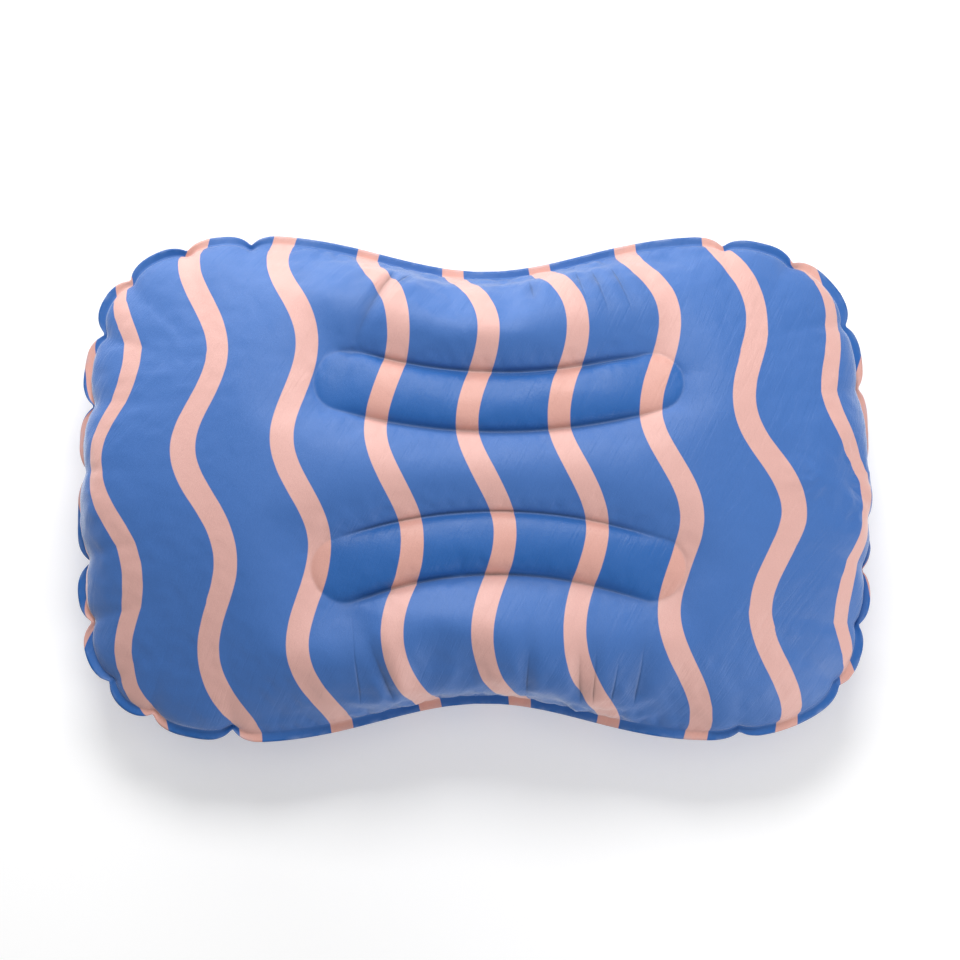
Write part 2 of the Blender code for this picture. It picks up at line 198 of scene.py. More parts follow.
def outline(half_length, half_width, dip, spread, count, inset=0.0):
    """Rounded oblong whose long sides dip at the waist, from its +X end round to the left."""
    turn = np.linspace(0, 2 * math.pi, 4000, endpoint=False)
    cos, sin = np.cos(turn), np.sin(turn)
    x = half_length * np.sign(cos) * np.abs(cos) ** (2 / CORNER_POWER)
    y = half_width * np.sign(sin) * np.abs(sin) ** (2 / CORNER_POWER)
    y = y * (1 - dip * np.exp(-(((x - WAIST_AT) / spread) ** 2)))
    loop = np.stack([x, y], axis=1)
    if inset:
        along = np.roll(loop, -1, axis=0) - np.roll(loop, 1, axis=0)
        along /= np.linalg.norm(along, axis=1)[:, None]
        loop = loop + inset * np.stack([-along[:, 1], along[:, 0]], axis=1)
    return resampled(loop, count)


def cut_outline(count, inset):
    return outline(CUT_HALF_LENGTH, CUT_HALF_WIDTH, CUT_WAIST_DIP, CUT_WAIST_SPREAD, count, inset)


def crescent(count, side, inset=0.0):
    """Closed outline of a tie's weld: a band of constant width round a shallow arc."""
    share = np.linspace(-1, 1, 400)
    x = TIE_CENTRE[0] + TIE_HALF_LENGTH * share
    y = TIE_CENTRE[1] + side * (TIE_OFFSET + TIE_BOWS[side] * share ** 2)
    slope = np.gradient(y, x)
    along = np.stack([np.ones_like(x), slope], axis=1) / np.sqrt(1 + slope ** 2)[:, None]
    across = np.stack([-along[:, 1], along[:, 0]], axis=1)
    middle = np.stack([x, y], axis=1)
    half = TIE_HALF_WIDTH - inset
    turn = np.linspace(0, math.pi, 60)[1:-1, None]
    right = middle[-1] + half * (np.cos(turn) * across[-1] + np.sin(turn) * along[-1])
    left = middle[0] + half * (-np.cos(turn) * across[0] - np.sin(turn) * along[0])
    upper = middle + half * across
    lower = middle - half * across
    return resampled(np.vstack([upper, right, lower[::-1], left])[::-1], count)


def circle(radius, count):
    turn = np.linspace(0, 2 * math.pi, count, endpoint=False)
    return np.stack([VALVE_FLAT_X + radius * np.cos(turn), radius * np.sin(turn)], axis=1)


def nearest_on_loop(points, loop):
    """Distance of each point to a closed loop, and how far round the loop, 0 to 1, it is nearest."""
    step = np.roll(loop, -1, axis=0) - loop
    length = np.linalg.norm(step, axis=1)
    reached = np.r_[0, np.cumsum(length)]
    distance = np.empty(len(points))
    share_round = np.empty(len(points))
    for first in range(0, len(points), 1000):
        part = points[first:first + 1000, None, :] - loop
        share = np.clip((part * step).sum(axis=2) / length ** 2, 0, 1)
        gap = np.linalg.norm(part - share[..., None] * step, axis=2)
        rows = np.arange(len(part))
        best = gap.argmin(axis=1)
        distance[first:first + 1000] = gap[rows, best]
        run = reached[best] + share[rows, best] * length[best]
        share_round[first:first + 1000] = run / reached[-1]
    return distance, share_round


def is_inside(points, loop):
    x, y = points[:, 0], points[:, 1]
    inside = np.zeros(len(points), bool)
    for (x1, y1), (x2, y2) in zip(loop, np.roll(loop, -1, axis=0)):
        if y1 != y2:
            crosses = (y1 > y) != (y2 > y)
            inside ^= crosses & (x < (x2 - x1) * (y - y1) / (y2 - y1) + x1)
    return inside


def staggered_grid():
    """Rows of points over the flat cut, a little uneven so that no fold follows the rows."""
    row_step = GRID_STEP * math.sqrt(3) / 2
    rows = []
    for number, y in enumerate(np.arange(-CUT_HALF_WIDTH, CUT_HALF_WIDTH, row_step)):
        x = np.arange(-CUT_HALF_LENGTH, CUT_HALF_LENGTH, GRID_STEP) + GRID_STEP / 2 * (number % 2)
        rows.append(np.stack([x, np.full(len(x), y)], axis=1))
    points = np.concatenate(rows)
    return points + random.uniform(-0.12, 0.12, points.shape) * GRID_STEP


def flat_sheet():
    """Triangles over the flat cut, closer together along the welds.

    The rings are the cut edge, the weld, the rear and front ties, the valve's hole and its pad.
    """
    count = int(WELD_LENGTH / WELD_STEP)
    tie_count = int(2 * (2 * TIE_HALF_LENGTH + math.pi * TIE_HALF_WIDTH) / WELD_STEP)
    weld = cut_outline(count, FLANGE)
    ties = [crescent(tie_count, side) for side in (1, -1)]
    rings = [cut_outline(count, 0.0), weld] + ties
    rings += [circle(VALVE_HOLE_RADIUS, 36), circle(VALVE_PAD_RADIUS, 48)]
    loose = [
        cut_outline(count, FLANGE / 2),
        cut_outline(count, FLANGE + 2.8 * MM),
        cut_outline(int(count * 0.7), FLANGE + 6.8 * MM),
    ]
    for side in (1, -1):
        loose += [crescent(tie_count, side, inset) for inset in (-1.5 * MM, 1.5 * MM, -4 * MM, 4 * MM)]
        loose += [crescent(int(tie_count * 0.7), side, inset) for inset in (-8 * MM, 8 * MM)]
    grid = staggered_grid()
    keep = is_inside(grid, weld) & (nearest_on_loop(grid, weld)[0] > 10.5 * MM)
    for tie in ties:
        keep &= nearest_on_loop(grid, tie)[0] > 11 * MM
    for ring in rings[4:]:
        keep &= nearest_on_loop(grid, ring)[0] > 4 * MM
    points = np.concatenate(rings + loose + [grid[keep]])
    edges = []
    first = 0
    for ring in rings:
        edges += [(first + i, first + (i + 1) % len(ring)) for i in range(len(ring))]
        first += len(ring)
    result = geometry.delaunay_2d_cdt([Vector(point) for point in points], edges, [], 1, 1e-7, True)
    flat = np.array([tuple(point) for point in result[0]])
    triangles = np.array(result[2])
    triangles = triangles[is_inside(flat[triangles].mean(axis=1), rings[0])]
    new_index = {old: new for new, olds in enumerate(result[3]) for old in olds}
    ring_indices = []
    first = 0
    for ring in rings:
        ring_indices.append(np.array([new_index[first + i] for i in range(len(ring))]))
        first += len(ring)
    return flat, triangles, ring_indices


# ------------------------------------------------------------------ inflation

def inflate(flat, triangles, weld_ring, tie_rings):
    """Blows the two welded panels up with Blender's cloth and returns the top and bottom points."""
    count = len(flat)
    weld_loop = flat[weld_ring]
    fused = ~is_inside(flat, weld_loop)
    fused[weld_ring] = True
    lower = np.arange(count)
    lower[~fused] = count + np.arange((~fused).sum())
    in_flange = ~is_inside(flat[triangles].mean(axis=1), weld_loop)
    points = np.zeros((count + (~fused).sum(), 3))
    points[:count, :2] = flat
    points[lower, :2] = flat
    points[:count, 2] = np.where(fused, 0.0, MM)
    points[count:, 2] = -MM
    points[:, 2] += random.normal(0, 0.1 * MM, len(points))
    faces = triangles.tolist() + lower[triangles[~in_flange]][:, ::-1].tolist()
    straps = []
    folded = []
    for ring, side in zip(tie_rings, (1, -1)):
        for index in ring:
            middle = len(points) + len(folded)
            folded.append((flat[index, 0], flat[index, 1] - side * TIE_HEIGHT / 2, 0.0))
            straps += [(int(index), middle), (middle, int(lower[index]))]
    points = np.vstack([points, folded])

    mesh = bpy.data.meshes.new("inflating")
    mesh.from_pydata(points.tolist(), straps, faces)
    pillow = bpy.data.objects.new("inflating", mesh)
    bpy.context.scene.collection.objects.link(pillow)
    stiff = pillow.vertex_groups.new(name="stiff")
    stiff.add([int(index) for index in np.flatnonzero(fused)], 1.0, "REPLACE")
    cloth = pillow.modifiers.new("cloth", "CLOTH")
    settings = cloth.settings
    settings.quality = CLOTH_QUALITY
    settings.mass = CLOTH_MASS
    settings.air_damping = AIR_DAMPING
    settings.tension_stiffness = TENSION
    settings.compression_stiffness = TENSION
    settings.shear_stiffness = SHEAR
    settings.bending_stiffness = BEND
    settings.bending_stiffness_max = BEND_WELD
    settings.vertex_group_bending = "stiff"
    settings.use_pressure = True
    settings.uniform_pressure_force = PRESSURE
    settings.effector_weights.gravity = 0
    cloth.collision_settings.use_collision = False
    cloth.collision_settings.use_self_collision = False
    frames = FRAMES
    cloth.point_cache.frame_start = 1
    cloth.point_cache.frame_end = frames
    scene = bpy.context.scene
    scene.frame_start = 1
    scene.frame_end = frames
    for number in range(1, frames + 1):
        scene.frame_set(number)
    blown = pillow.evaluated_get(bpy.context.evaluated_depsgraph_get()).data
    done = np.empty(len(blown.vertices) * 3)
    blown.vertices.foreach_get("co", done)
    done = done.reshape(-1, 3)
    bpy.data.objects.remove(pillow)
    bpy.data.meshes.remove(mesh)
    scene.frame_set(1)
    return done[:count].copy(), done[lower].copy()


def levelled(top, bottom, weld_ring):
    """Both panels turned so that the weld is level, its long axis on X and its middle at the origin."""
    weld = top[weld_ring]
    middle = (weld.max(axis=0) + weld.min(axis=0)) / 2
    tilt = np.linalg.lstsq(weld[:, :2] - middle[:2], weld[:, 2] - middle[2], rcond=None)[0]
    normal = np.array([-tilt[0], -tilt[1], 1.0])
    normal /= np.linalg.norm(normal)
    across = weld[:, :2] - middle[:2]
    angle = 0.5 * math.atan2(2 * (across[:, 0] * across[:, 1]).sum(),
                             (across[:, 0] ** 2 - across[:, 1] ** 2).sum())
    long_axis = np.array([math.cos(angle), math.sin(angle), 0.0])
    long_axis -= normal * long_axis.dot(normal)
    long_axis /= np.linalg.norm(long_axis)
    axes = np.stack([long_axis, np.cross(normal, long_axis), normal])
    return (top - middle) @ axes.T, (bottom - middle) @ axes.T


# ------------------------------------------------------------------ mesh arithmetic

def refined(arrays, triangles, rings):
    """Splits every triangle in four, and every ring's steps in two."""
    edges = np.concatenate([triangles[:, [0, 1]], triangles[:, [1, 2]], triangles[:, [2, 0]]])
    edges, inverse = np.unique(np.sort(edges, axis=1), axis=0, return_inverse=True)
    count = len(arrays[0])
    ab, bc, ca = inverse.reshape(3, -1) + count
    a, b, c = triangles.T
    quarters = [(a, ab, ca), (ab, b, bc), (ca, bc, c), (ab, bc, ca)]
    split = np.concatenate([np.stack(corners, axis=1) for corners in quarters])
    denser = [np.concatenate([array, (array[edges[:, 0]] + array[edges[:, 1]]) / 2]) for array in arrays]
    middle_of = {(int(p), int(q)): count + i for i, (p, q) in enumerate(edges)}
    new_rings = []
    for ring in rings:
        new = []
        for p, q in zip(ring, np.roll(ring, -1)):
            new += [int(p), middle_of[(min(int(p), int(q)), max(int(p), int(q)))]]
        new_rings.append(np.array(new))
    return denser, split, new_rings


def edges_of(triangles):
    edges = np.concatenate([triangles[:, [0, 1]], triangles[:, [1, 2]], triangles[:, [2, 0]]])
    return np.unique(np.sort(edges, axis=1), axis=0)


def averaged(values, edges, weight, rounds):
    """Moves each point's value towards its neighbours', by its weight, several times over."""
    a, b = edges.T
    count = len(values)
    neighbours = np.maximum(np.bincount(edges.ravel(), minlength=count), 1)
    for _ in range(rounds):
        total = np.empty_like(values)
        for axis in range(values.shape[1]):
            into_a = np.bincount(a, values[b, axis], count)
            into_b = np.bincount(b, values[a, axis], count)
            total[:, axis] = into_a + into_b
        values = values + weight[:, None] * (total / neighbours[:, None] - values)
    return values


def normals_of(points, triangles):
    corners = points[triangles]
    face = np.cross(corners[:, 1] - corners[:, 0], corners[:, 2] - corners[:, 0])
    normal = np.zeros_like(points)
    for column in range(3):
        for axis in range(3):
            normal[:, axis] += np.bincount(triangles[:, column], face[:, axis], len(points))
    return normal / np.maximum(np.linalg.norm(normal, axis=1), 1e-12)[:, None]


def ring_value(table, share_round):
    """Reads a table that runs evenly round a closed ring, between its rows."""
    at = share_round * len(table)
    low = np.floor(at).astype(int)
    part = (at - low)[:, None]
    return table[low % len(table)] * (1 - part) + table[(low + 1) % len(table)] * part


def smoothstep(low, high, value):
    t = np.clip((value - low) / (high - low), 0, 1)
    return t * t * (3 - 2 * t)


# ------------------------------------------------------------------ fitting and shaping

def fitted(points, weld_share, weld_distance, shift_table):
    """Panel points moved so that the blown weld lies on the pillow's true outline."""
    reach = np.exp(-((weld_distance / 0.075) ** 2))
    return points + ring_value(shift_table, weld_share) * reach[:, None]


def notch_places(weld_loop):
    """Where each end notch starts, as a share of the way round the weld."""
    places = []
    for side, angles in ((-1, LEFT_NOTCHES), (1, RIGHT_NOTCHES)):
        centre = np.array([side * NOTCH_CENTRE, 0.0])
        bearing = np.arctan2(*(weld_loop - centre).T[::-1])
        for angle in angles:
            gap = np.angle(np.exp(1j * (bearing - math.radians(angle))))
            places.append(int(np.abs(gap).argmin()) / len(weld_loop))
    return np.array(places)


def pinch(weld_share, weld_distance, places, slants, depths, length):
    """Share of a full notch at each point: 1 in a notch's valley and 0 on the lobes between."""
    valley = np.zeros(len(weld_share))
    for place, slant, depth in zip(places, slants, depths):
        away = (weld_share - place + 0.5) % 1.0 - 0.5
        away = np.abs(away * length + slant * weld_distance)
        width = NOTCH_WIDTH * (1 + weld_distance / 0.030)
        steep = np.exp(-away / width)
        broad = np.exp(-((away / (3.4 * width)) ** 2))
        valley = np.maximum(valley, depth * (0.62 * steep + 0.38 * broad))
    return valley


def build_panels():
    """Both panels' final points on the shared flat mesh."""
    flat, triangles, rings = flat_sheet()
    top, bottom = inflate(flat, triangles, rings[1], rings[2:4])
    top, bottom = levelled(top, bottom, rings[1])
    (flat, top, bottom), triangles, rings = refined([flat, top, bottom], triangles, rings)
    edges = edges_of(triangles)
    weld_ring = rings[1]
    weld_loop = flat[weld_ring]
    weld_distance, weld_share = nearest_on_loop(flat, weld_loop)
    inside = is_inside(flat, weld_loop)
    inside[weld_ring] = True
    weld_distance[weld_ring] = 0.0
    weld_length = np.linalg.norm(weld_loop - np.roll(weld_loop, 1, axis=0), axis=1).sum()

    # true outline of the inflated pillow, from the frame's box
    low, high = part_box("top_panel")
    weld_z = (low.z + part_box("bottom_panel")[1].z) / 2
    half_length = (high.x - low.x) / 2
    half_width = (high.y - low.y) / 2
    trial = outline(half_length, 1.0, DONE_WAIST_DIP, DONE_WAIST_SPREAD, 2000)
    half_width = half_width / np.abs(trial[:, 1]).max()
    done = outline(half_length, half_width, DONE_WAIST_DIP, DONE_WAIST_SPREAD, len(weld_ring), FLANGE)
    done_along = np.roll(done, -1, axis=0) - np.roll(done, 1, axis=0)
    done_along /= np.linalg.norm(done_along, axis=1)[:, None]
    outward = np.stack([done_along[:, 1], -done_along[:, 0], np.zeros(len(done))], axis=1)
    target = np.hstack([done, np.zeros((len(done), 1))])

    # the inflated sheets scaled, then moved so that their weld lies on the outline
    for points in (top, bottom):
        blown = points[weld_ring]
        points[:, :2] *= np.ptp(done, axis=0) / np.ptp(blown[:, :2], axis=0)
    shift = target - top[weld_ring]
    top = fitted(top, weld_share, weld_distance, shift)
    bottom = fitted(bottom, weld_share, weld_distance, shift)

    # smoothing, more where the hoops round the ends have buckled
    ties = [nearest_on_loop(flat, flat[ring])[0] for ring in rings[2:4]]
    tie_distance = np.minimum(*ties)
    in_tie = np.zeros(len(flat), bool)
    for ring in rings[2:4]:
        in_tie |= is_inside(flat, flat[ring])
        tie_distance[ring] = 0.0
    scale = np.ptp(done, axis=0) / np.ptp(weld_loop, axis=0)
    laid = np.hstack([flat * scale, np.zeros((len(flat), 1))])
    smooth = []
    for points in (top, bottom):
        spread = points - laid
        weight = np.where(inside & (weld_distance > 0), 0.5, 0.0)
        calm = weight * (1 - 0.75 * np.exp(-((tie_distance / (9 * MM)) ** 2)))
        spread = averaged(spread, edges, calm, SMOOTH_ROUNDS)
        near_weld = 1 - smoothstep(0.05, 0.08, weld_distance)
        ends = weight * smoothstep(0.11, 0.17, np.abs(flat[:, 0])) * near_weld
        spread = averaged(spread, edges, ends, END_ROUNDS)
        seam = weight * (1 - smoothstep(0.018, 0.036, weld_distance))
        spread = averaged(spread, edges, seam, SEAM_ROUNDS)
        smooth.append(spread + laid)
    top, bottom = smooth

    # heights: the crown reaches the frame's top
    crown = top[inside, 2].max()
    top[:, 2] *= np.where(top[:, 2] > 0, (high.z - weld_z) / crown, 1.0)
    base = -bottom[inside, 2].min()
    bottom[:, 2] *= np.where(bottom[:, 2] < 0, (weld_z + GROUND_PRESS) / base, 1.0)

    places = notch_places(done)
    slants = random.uniform(-0.25, 0.25, len(places))
    depths = random.uniform(0.65, 1.1, len(places))
    depths[len(LEFT_NOTCHES):] *= RIGHT_NOTCH_SHARE
    ends = smoothstep(0.115, 0.165, np.abs(flat[:, 0]))
    away_from_weld = np.where(inside, weld_distance, 0.0)
    valley = pinch(weld_share, away_from_weld, places, slants, depths, weld_length)
    level_out = ring_value(outward, weld_share)

    tie_share = np.abs(flat[:, 0] - TIE_CENTRE[0]) / TIE_HALF_LENGTH
    tie_fade = 1 - 0.80 * smoothstep(0.72, 1.12, tie_share)
    right_more = 1 + RIGHT_OVERHANG * np.exp(-((flat[:, 1] / 0.07) ** 2)) * (flat[:, 0] > 0)
    shaped = []
    fold_shades = []
    for points, facing in ((top, 1.0), (bottom, -1.0)):
        # fold gathers painted shade along each wrinkle's valley, for this panel
        fold = np.zeros(len(flat))
        normal = normals_of(points, triangles) * facing
        # gathers round the ends
        turn = smoothstep(0.0, 9 * MM, away_from_weld)[:, None]
        push = level_out * (1 - turn) + normal * turn
        push /= np.linalg.norm(push, axis=1)[:, None]
        depth = NOTCH_DEPTH * valley * np.exp(-((away_from_weld / NOTCH_REACH) ** 1.3))
        share = away_from_weld / OVERHANG_REACH
        full = ends * right_more * (1 - 0.35 * valley) * share * np.exp(1 - share)
        points = points + level_out * (OVERHANG * full)[:, None] - push * depth[:, None]
        points[:, 2] += facing * OVERHANG_LIFT * full
        # wrinkles at the waist edges
        for x, side, slant, depth_mm, width_mm, reach_mm in WRINKLES:
            if facing < 0:
                x = -x
            here = flat[:, 1] * side > 0
            across = flat[:, 0] - x - slant * (away_from_weld - WRINKLE_START)
            width = width_mm * MM * (1 + away_from_weld / 0.04)
            valley_line = np.exp(-((across / width) ** 2))
            ridge = 0.4 * np.exp(-(((across - 2.0 * width) / width) ** 2))
            beyond = np.maximum(away_from_weld - WRINKLE_START, 0)
            level = np.exp(-((beyond / (reach_mm * MM)) ** 2))
            level *= smoothstep(WRINKLE_FADE, WRINKLE_START, away_from_weld) * here
            fold = np.maximum(fold, level * valley_line * min(1.0, depth_mm))
            depth = depth_mm * WRINKLE_STRENGTH * MM * level * (valley_line - ridge)
            points = points - normal * depth[:, None]
        # crescents: a crease all round and a crowned floor
        crown = FLOOR_CROWN * (1 - np.exp(-((tie_distance / FLOOR_ROLL) ** 1.3)))
        slope = CREASE_DEPTH * np.exp(-tie_distance / CREASE_REACH)
        slope = slope + SHOULDER_DEPTH * np.exp(-tie_distance / SHOULDER_REACH)
        rise = np.where(in_tie, crown - CREASE_DEPTH - SHOULDER_DEPTH, -slope)
        points = points + normal * (rise * tie_fade)[:, None]
        settle = np.where(inside, 0.35 * (1 - smoothstep(0.016, 0.030, weld_distance)), 0.0) * ends
        shaped.append(averaged(points, edges, settle, SETTLE_ROUNDS))
        fold_shades.append(fold)
    top, bottom = shaped

    # welded margin: outward from the weld, gently rippled
    margin = ~inside
    bottom[weld_ring] = top[weld_ring]
    ring_points = top[weld_ring]
    base = ring_value(ring_points, weld_share[margin])
    reach = weld_distance[margin]
    pucker = valley[margin]
    phase = weld_share[margin] * weld_length
    ripple = sum(height * np.sin(phase / length + start) for height, length, start in RIPPLES)
    ripple = ripple * reach / FLANGE * (0.35 + 0.65 * ends[margin])
    fold = MARGIN_FOLD * pucker * reach / FLANGE
    rim = base + level_out[margin] * (reach * (1 - 0.55 * pucker))[:, None]
    rim[:, 2] += ripple + fold
    top[margin] = rim
    bottom[margin] = rim
    lift = WELD_HALF_THICKNESS * np.exp(-away_from_weld / WELD_ROLL)
    top[:, 2] += weld_z + lift
    bottom[:, 2] += weld_z - lift

    # valve seat and the ground
    valve = valve_axes()
    bottom = seat_valve(bottom, flat, away_from_weld, valve, VALVE_BLEND_RADIUS)
    above = (bottom[:, 2] - 0.4 * MM) / GROUND_SOFTNESS
    bottom[:, 2] = GROUND_SOFTNESS * np.logaddexp(0, above) + 0.05 * MM
    bottom = seat_valve(bottom, flat, away_from_weld, valve, VALVE_SETTLE_RADIUS)
    bottom[:, 2] = np.maximum(bottom[:, 2], 0.02 * MM)

    centre = np.array([(low.x + high.x) / 2, (low.y + high.y) / 2, 0.0])
    top += centre
    bottom += centre
    marks = {
        "fused": np.maximum(margin, in_tie * smoothstep(0, 1.0 * MM, tie_distance)).astype(float),
        # painted shade along the crescents' creases, darkest on the weld line
        "crease_shade": np.exp(-tie_distance / (0.9 * MM)) * tie_fade,
        # painted shade along the top panel's wrinkle valleys
        "fold": fold_shades[0],
        "from_weld": away_from_weld,
        "rim": np.where(margin, smoothstep(FLANGE - 2.2 * MM, FLANGE, weld_distance), 0.0),
    }
    return flat, triangles, rings, top, bottom, marks, fold_shades[1]


def valve_axes():
    """Centre and slope direction of the valve, from the frame's joints."""
    joints = {joint["name"]: joint for joint in frame["joints"]}
    outward = -Vector(joints["flap_lift"]["axis"])
    slope = Vector((-outward.z, 0.0, outward.x)).normalized()
    hinge = Vector(joints["plug_hinge"]["pos_m"])
    centre = hinge - slope * VALVE_HINGE_REACH - outward * VALVE_HINGE_HEIGHT
    return centre, slope


def seat_valve(points, flat, weld_distance, valve, blend_radius):
    """Bottom panel laid into the valve's plane round its hole."""
    centre, slope = valve
    sideways = np.array([0.0, 1.0, 0.0])
    offset = flat - np.array([VALVE_FLAT_X, 0.0])
    distance = np.linalg.norm(offset, axis=1)
    plane = np.array(centre) + offset[:, :1] * np.array(slope) + offset[:, 1:] * sideways
    beyond = np.maximum(distance - VALVE_PAD_RADIUS, 0)
    past = beyond / (blend_radius - VALVE_PAD_RADIUS)
    past = np.maximum(past, beyond / np.maximum(beyond + weld_distance, MM))
    share = (1 - smoothstep(0, 1, past))[:, None]
    return points * (1 - share) + plane * share


# ------------------------------------------------------------------ pieces

def mesh_object(name, points, faces, flat=None, marks=None):
    mesh = bpy.data.meshes.new(name)
    mesh.from_pydata(points.tolist(), [], np.asarray(faces).tolist())
    mesh.update()
    if flat is not None:
        corner = np.empty(len(mesh.loops), int)
        mesh.loops.foreach_get("vertex_index", corner)
        mesh.uv_layers.new(name="flat").data.foreach_set("uv", flat[corner].ravel())
    for key, values in (marks or {}).items():
        mesh.attributes.new(key, "FLOAT", "POINT").data.foreach_set("value", values.astype(np.float32))
    mesh.shade_smooth()
    piece = bpy.data.objects.new(name, mesh)
    bpy.context.scene.collection.objects.link(piece)
    return piece


def without_loose(points, faces, *others):
    used = np.unique(faces)
    new = np.zeros(len(points), int)
    new[used] = np.arange(len(used))
    return points[used], new[faces], [other[used] for other in others]


def thicken(piece, thickness, inner_material):
    """Gives a sheet its thickness, inwards from the face that shows."""
    solid = piece.modifiers.new("thickness", "SOLIDIFY")
    solid.thickness = thickness
    solid.offset = -1.0
    solid.material_offset = inner_material


def add_panel(name, node, points, faces, flat, marks, materials):
    keys = list(marks)
    points, faces, rest = without_loose(points, faces, flat, *[marks[key] for key in keys])
    piece = mesh_object(name, points, faces, rest[0], dict(zip(keys, rest[1:])))
    for material in materials:
        piece.data.materials.append(material)
    thicken(piece, CLOTH_THICKNESS, 1)
    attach(piece, "pillow")
    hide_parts(node)
    return piece


def add_tie(name, ring, inside_faces, flat, triangles, top, bottom, material):
    """A tie's two patches, welded under the floors, and the vented film wall between them."""
    reach = {}
    for part, points, facing in (("top_patch", top, 1.0), ("bottom_patch", bottom, -1.0)):
        faces = triangles[inside_faces] if facing > 0 else triangles[inside_faces][:, ::-1]
        normal = normals_of(points, faces)
        under = points - normal * PATCH_DEPTH
        cut, faces, (piece_flat,) = without_loose(under, faces, flat)
        piece = mesh_object(f"{name}_{part}_film", cut, faces, piece_flat)
        piece.data.materials.append(material)
        thicken(piece, PATCH_THICKNESS, 0)
        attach(piece, "pillow")
        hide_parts(f"{name}_{part}")
        reach[part] = under[ring] - normal[ring] * WALL_GAP
    upper, lower = reach["top_patch"], reach["bottom_patch"]
    loop = flat[ring]
    along = np.roll(loop, -1, axis=0) - np.roll(loop, 1, axis=0)
    along /= np.linalg.norm(along, axis=1)[:, None]
    inward = np.stack([-along[:, 1], along[:, 0], np.zeros(len(loop))], axis=1)
    upper, lower = upper + inward * WALL_INSET, lower + inward * WALL_INSET
    upper[:, 2] -= WALL_TRIM
    lower[:, 2] += WALL_TRIM
    share = np.linspace(0, 1, WALL_ROWS + 1)[:, None, None]
    wall = upper * (1 - share) + lower * share
    around = len(loop)
    step = np.linalg.norm(np.roll(loop, -1, axis=0) - loop, axis=1)
    run = np.r_[0, np.cumsum(step)][:-1]
    height = float((upper[:, 2] - lower[:, 2]).mean())
    cloth = np.stack(np.broadcast_arrays(run[None, :], share[:, :, 0] * height), axis=2).copy()
    number = np.arange((WALL_ROWS + 1) * around).reshape(WALL_ROWS + 1, around)
    next_number = np.roll(number, -1, 1)
    quads = np.stack([number[:-1], number[1:], next_number[1:], next_number[:-1]], axis=2)
    quads = quads.reshape(-1, 4)
    vents = []
    for x in VENT_PLACES:
        for upper_edge in (True, False):
            edge = inward[:, 1] < 0 if upper_edge else inward[:, 1] > 0
            column = np.where(edge, np.abs(loop[:, 0] - x), 1.0).argmin()
            vents.append((run[column], height / 2))
    flat_wall = cloth.reshape(-1, 2)
    centre = flat_wall[quads].mean(axis=1)
    closed = np.ones(len(quads), bool)
    points = wall.reshape(-1, 3)
    for vent in vents:
        closed &= np.linalg.norm(centre - vent, axis=1) >= VENT_RADIUS
    points, faces, (flat_wall,) = without_loose(points, quads[closed], flat_wall)
    piece = mesh_object(f"{name}_film_wall", points, faces, flat_wall)
    piece.data.materials.append(material)
    thicken(piece, WALL_THICKNESS, 0)
    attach(piece, "pillow")
    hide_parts(f"{name}_wall")


# ------------------------------------------------------------------ materials

class Nodes:
    """Short calls for building a material's nodes."""

    def __init__(self, name):
        self.material = bpy.data.materials.new(name)
        self.material.use_nodes = True
        self.tree = self.material.node_tree
        self.shader = self.tree.nodes["Principled BSDF"]

    def add(self, kind, inputs=None, **settings):
        node = self.tree.nodes.new("ShaderNode" + kind)
        for key, value in settings.items():
            setattr(node, key, value)
        for key, value in (inputs or {}).items():
            self.put(node.inputs[key], value)
        return node

    def put(self, socket, value):
        if isinstance(value, bpy.types.NodeSocket):
            self.tree.links.new(value, socket)
        else:
            socket.default_value = value

    def math(self, operation, *values):
        node = self.add("Math", operation=operation)
        for number, value in enumerate(values):
            self.put(node.inputs[number], value)
        return node.outputs[0]

    def mix(self, factor, a, b):
        node = self.add("Mix", data_type="RGBA", clamp_factor=True)
        self.put(node.inputs["Factor"], factor)
        self.put(node.inputs["A"], a)
        self.put(node.inputs["B"], b)
        return node.outputs["Result"]

    def remap(self, value, low, high, to_low, to_high):
        inputs = {"Value": value, "From Min": low, "From Max": high, "To Min": to_low, "To Max": to_high}
        return self.add("MapRange", inputs, clamp=True).outputs[0]

    def noise(self, vector, scale, detail=2.0, roughness=0.5):
        inputs = {"Vector": vector, "Scale": scale, "Detail": detail, "Roughness": roughness}
        return self.add("TexNoise", inputs).outputs[0]

    def stretched_noise(self, vector, factors, detail, roughness=0.5):
        inputs = {0: vector, 1: factors}
        vector = self.add("VectorMath", inputs, operation="MULTIPLY").outputs[0]
        return self.noise(vector, 1.0, detail, roughness)

    def mark(self, name):
        return self.add("Attribute", attribute_name=name).outputs["Fac"]

    def bump(self, height, strength, distance, normal=None):
        inputs = {"Height": height, "Strength": strength, "Distance": distance}
        if normal is not None:
            inputs["Normal"] = normal
        return self.add("Bump", inputs).outputs[0]


def turned(nodes, x, y, angle):
    """The flat cut's coordinates in axes turned by an angle."""
    cos, sin = math.cos(angle), math.sin(angle)
    across = nodes.math("ADD", nodes.math("MULTIPLY", x, cos), nodes.math("MULTIPLY", y, sin))
    along = nodes.math("SUBTRACT", nodes.math("MULTIPLY", y, cos), nodes.math("MULTIPLY", x, sin))
    return across, along


